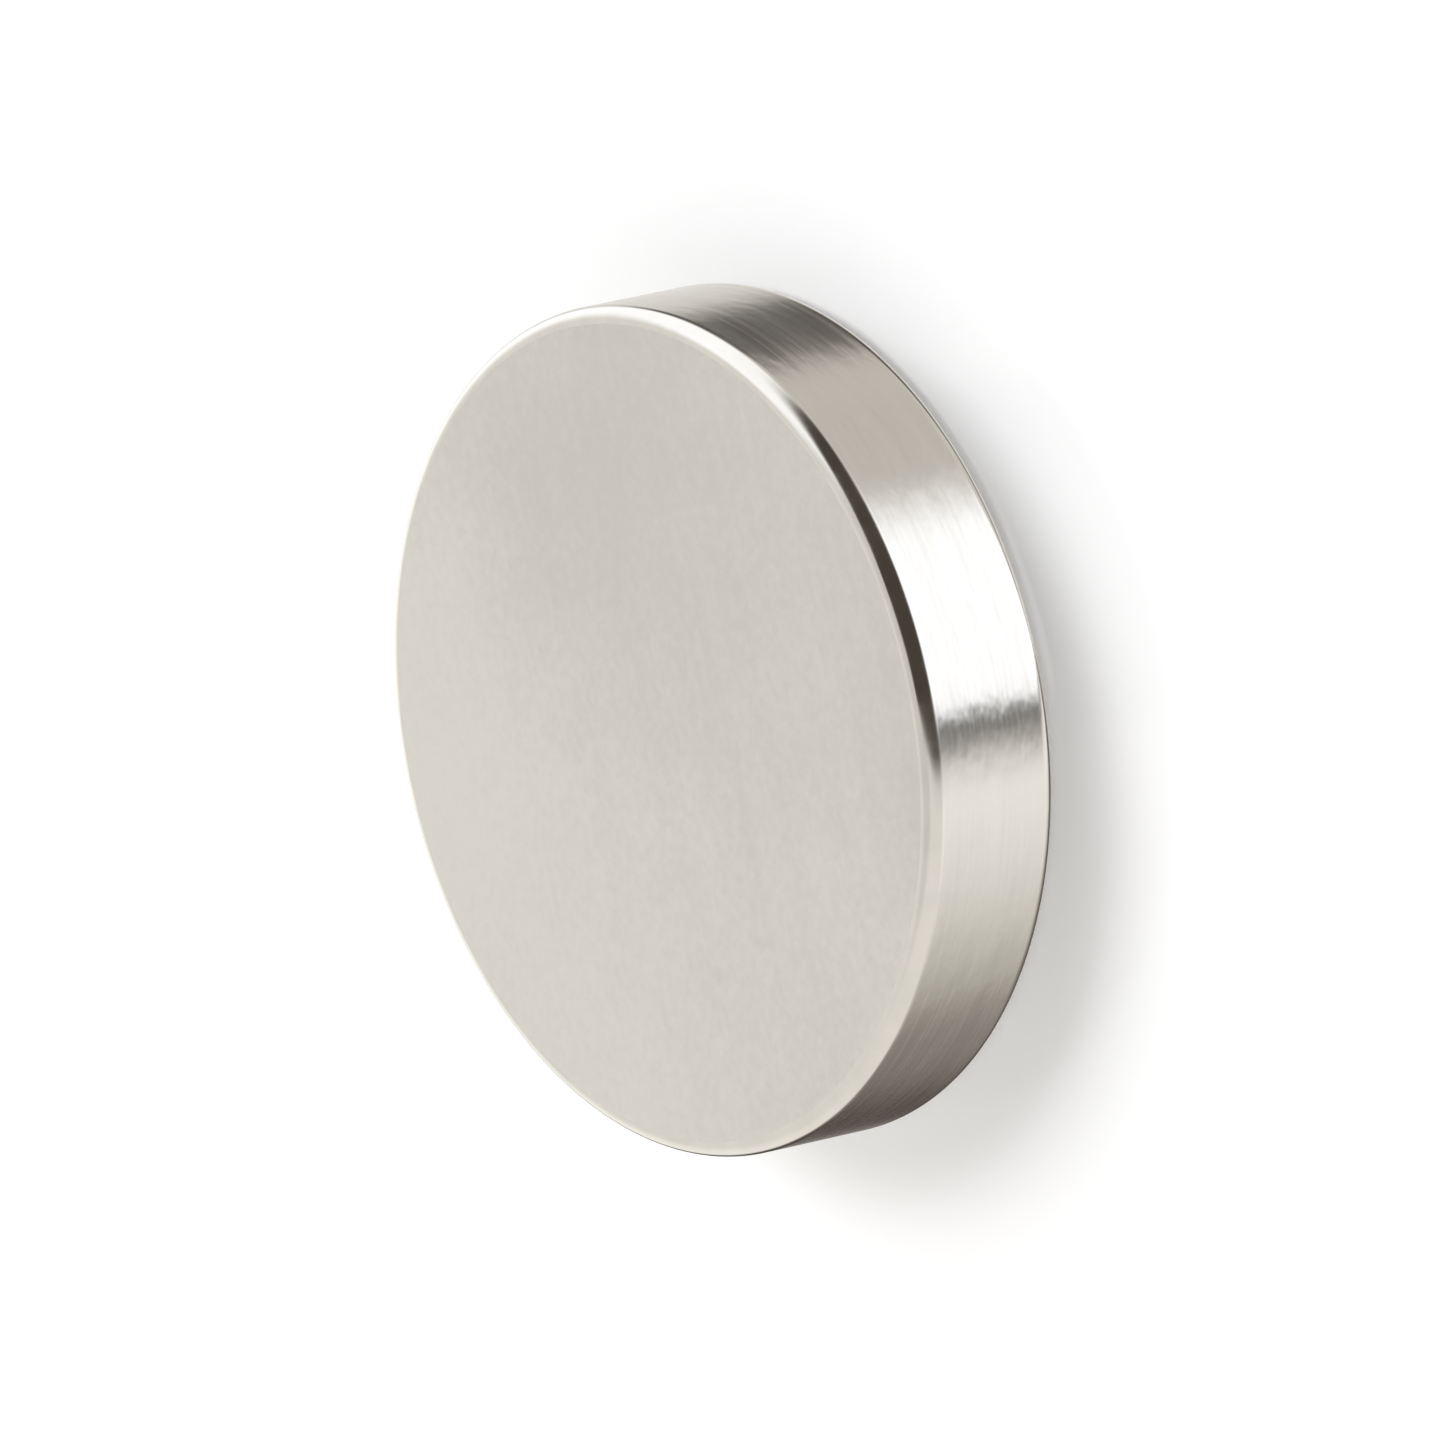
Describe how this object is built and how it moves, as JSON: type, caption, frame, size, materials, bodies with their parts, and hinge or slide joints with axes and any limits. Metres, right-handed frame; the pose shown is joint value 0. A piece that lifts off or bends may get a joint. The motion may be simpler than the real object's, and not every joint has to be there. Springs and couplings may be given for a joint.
{
  "type": "disc magnet",
  "caption": "Plain round disc magnet with flat pole faces, a ground rim and small rounded edges, plated in satin nickel. It holds to steel or to another magnet.",
  "frame": {"origin": "centre of the lower pole face, which is the flat face that the disc lies on", "axes": "+Z along the disc's axis, up through the upper pole face; X and Y lie in the lower pole face, and the disc is the same all round"},
  "size_m": [0.008, 0.008, 0.0015],
  "materials": {
    "nickel_plating": "satin nickel plating: fine matt faces, a brighter ground rim and polished edges"
  },
  "bodies": {
    "root": {"disc_magnet": "nickel_plating"}
  },
  "joints": []
}
